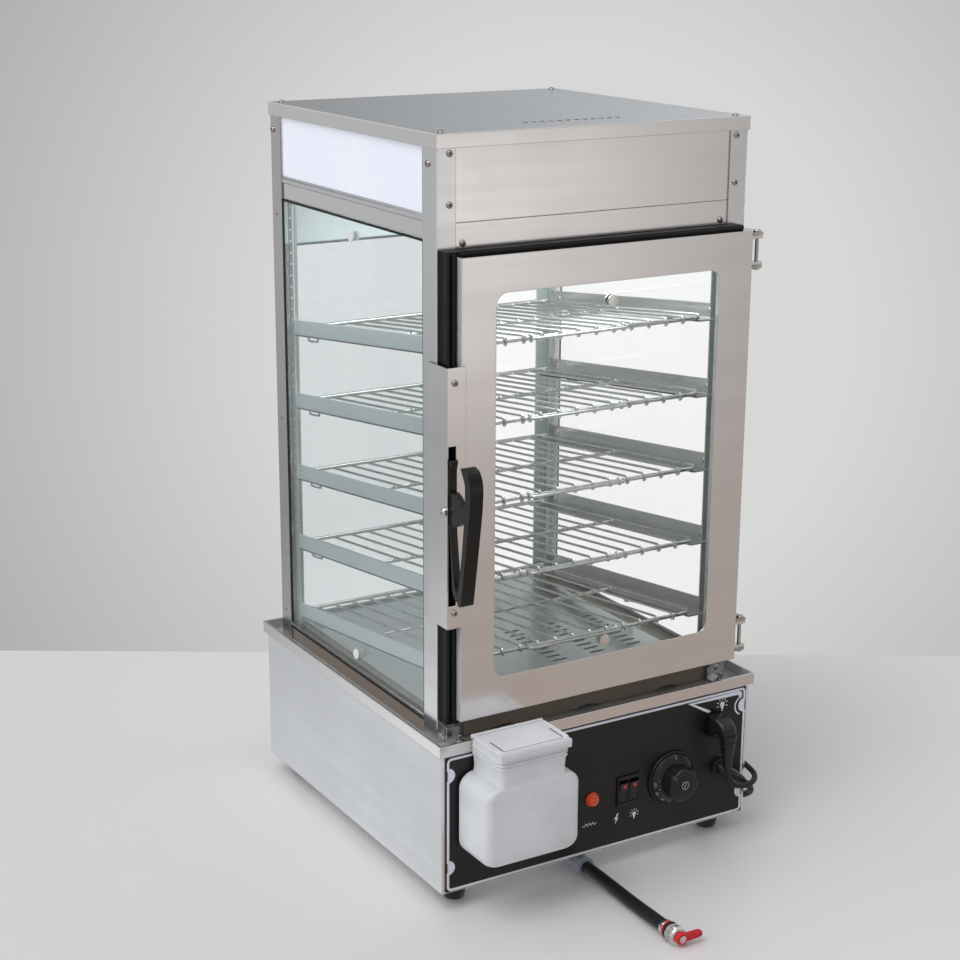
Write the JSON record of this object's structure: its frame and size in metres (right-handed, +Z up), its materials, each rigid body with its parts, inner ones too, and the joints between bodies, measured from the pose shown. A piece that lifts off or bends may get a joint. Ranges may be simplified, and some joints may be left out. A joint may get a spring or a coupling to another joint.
{
  "type": "food warmer display case",
  "caption": "Countertop food warmer: steam base with tank, controls, filler and drain under a glass cabinet with wire shelves, hinged door and light box.",
  "frame": {"origin": "bottom centre of the case and its drip tray, without the free mains cord, lamp lead and drain hose, on the plane that the feet stand on", "axes": "+Z up, -Y out of the door and the control panel, +X to the right seen from the front"},
  "size_m": [0.5073, 0.5696, 0.755],
  "materials": {
    "steel": "brushed",
    "bright_steel": "polished",
    "dark_steel": "satin",
    "glass": "clear",
    "opal_acrylic": "opal satin",
    "white_plastic": "satin",
    "black_plastic": "satin",
    "black_rubber": "matte",
    "black_panel": "satin",
    "red_plastic": "gloss",
    "red_lens": "gloss",
    "grey_plastic": "satin"
  },
  "bodies": {
    "case": {"base_shell": "steel", "drip_tray": "steel", "post_front_left": "steel", "post_back_left": "steel", "post_front_right": "steel", "post_back_right": "steel", "bottom_frame": "steel", "header_frame": "steel", "front_fascia": "steel", "top_cover": "steel", "rack_left": "steel", "rack_right": "steel", "water_tank": "bright_steel", "steam_plate": "bright_steel", "hinge_lower": "bright_steel", "hinge_upper": "bright_steel", "drain_valve": "bright_steel", "heating_element": "dark_steel", "thermostat_body": "dark_steel", "left_glass": "glass", "right_glass": "glass", "back_glass": "glass", "light_panel_left": "opal_acrylic", "light_panel_right": "opal_acrylic", "light_panel_back": "opal_acrylic", "lamp_tube": "opal_acrylic", "ceiling_panel": "white_plastic", "filler_bottle": "white_plastic", "dial_ring": "black_plastic", "switch_housing": "black_plastic", "lamp_socket": "black_plastic", "lamp_plug": "black_plastic", "mains_gland": "black_plastic", "mains_plug": "black_plastic", "foot_front_left": "black_rubber", "foot_back_left": "black_rubber", "foot_front_right": "black_rubber", "foot_back_right": "black_rubber", "lamp_lead": "black_rubber", "mains_cord": "black_rubber", "drain_hose": "black_rubber", "mains_coil": "black_rubber", "control_panel": "black_panel", "indicator_lamp": "red_lens", "drain_outlet": "grey_plastic"},
    "door": {"door_frame": "steel", "door_glass": "glass", "door_gasket": "black_rubber", "latch_bracket": "steel"},
    "lever": {"handle_lever": "black_plastic"},
    "filler_cap": {"filler_lid": "white_plastic"},
    "power_rocker": {"rocker_power": "black_plastic"},
    "light_rocker": {"rocker_light": "black_plastic"},
    "knob": {"thermostat_knob": "black_plastic"},
    "drain_handle": {"drain_lever": "red_plastic"},
    "shelf_1_body": {"shelf_1": "bright_steel"},
    "shelf_2_body": {"shelf_2": "bright_steel"},
    "shelf_3_body": {"shelf_3": "bright_steel"},
    "shelf_4_body": {"shelf_4": "bright_steel"},
    "shelf_5_body": {"shelf_5": "bright_steel"}
  },
  "joints": [
    {"name": "door_hinge", "type": "hinge", "parent": "case", "child": "door", "pos_m": [0.1835, -0.1516, 0.42], "axis": [0, 0, 1], "range_deg": [0, 120]},
    {"name": "latch_lever", "type": "hinge", "parent": "door", "child": "lever", "pos_m": [-0.1717, -0.1579, 0.409], "axis": [1, 0, 0], "range_deg": [0, 8], "stiffness_Nm_per_rad": 0.5, "springref_deg": -11.46},
    {"name": "filler_lid_hinge", "type": "hinge", "parent": "case", "child": "filler_cap", "pos_m": [-0.1165, -0.1741, 0.1842], "axis": [-1, 0, 0], "range_deg": [0, 85]},
    {"name": "power_switch", "type": "hinge", "parent": "case", "child": "power_rocker", "pos_m": [0.0262, -0.1671, 0.082], "axis": [-1, 0, 0], "range_deg": [0, 16]},
    {"name": "light_switch", "type": "hinge", "parent": "case", "child": "light_rocker", "pos_m": [0.0388, -0.1671, 0.082], "axis": [-1, 0, 0], "range_deg": [0, 16]},
    {"name": "thermostat_turn", "type": "hinge", "parent": "case", "child": "knob", "pos_m": [0.0875, -0.175, 0.083], "axis": [0, 1, 0], "range_deg": [0, 270]},
    {"name": "drain_tap", "type": "hinge", "parent": "case", "child": "drain_handle", "pos_m": [-0.0218, -0.3387, 0.0093], "axis": [0, -1, 0], "range_deg": [0, 90]},
    {"name": "shelf_1_slide", "type": "slide", "parent": "case", "child": "shelf_1_body", "axis": [0, -0.9925, 0.1219], "range_m": [0, 0.024]},
    {"name": "shelf_2_slide", "type": "slide", "parent": "case", "child": "shelf_2_body", "axis": [0, -0.9925, 0.1219], "range_m": [0, 0.024]},
    {"name": "shelf_3_slide", "type": "slide", "parent": "case", "child": "shelf_3_body", "axis": [0, -0.9925, 0.1219], "range_m": [0, 0.024]},
    {"name": "shelf_4_slide", "type": "slide", "parent": "case", "child": "shelf_4_body", "axis": [0, -0.9925, 0.1219], "range_m": [0, 0.024]},
    {"name": "shelf_5_slide", "type": "slide", "parent": "case", "child": "shelf_5_body", "axis": [0, -0.9925, 0.1219], "range_m": [0, 0.024]}
  ]
}
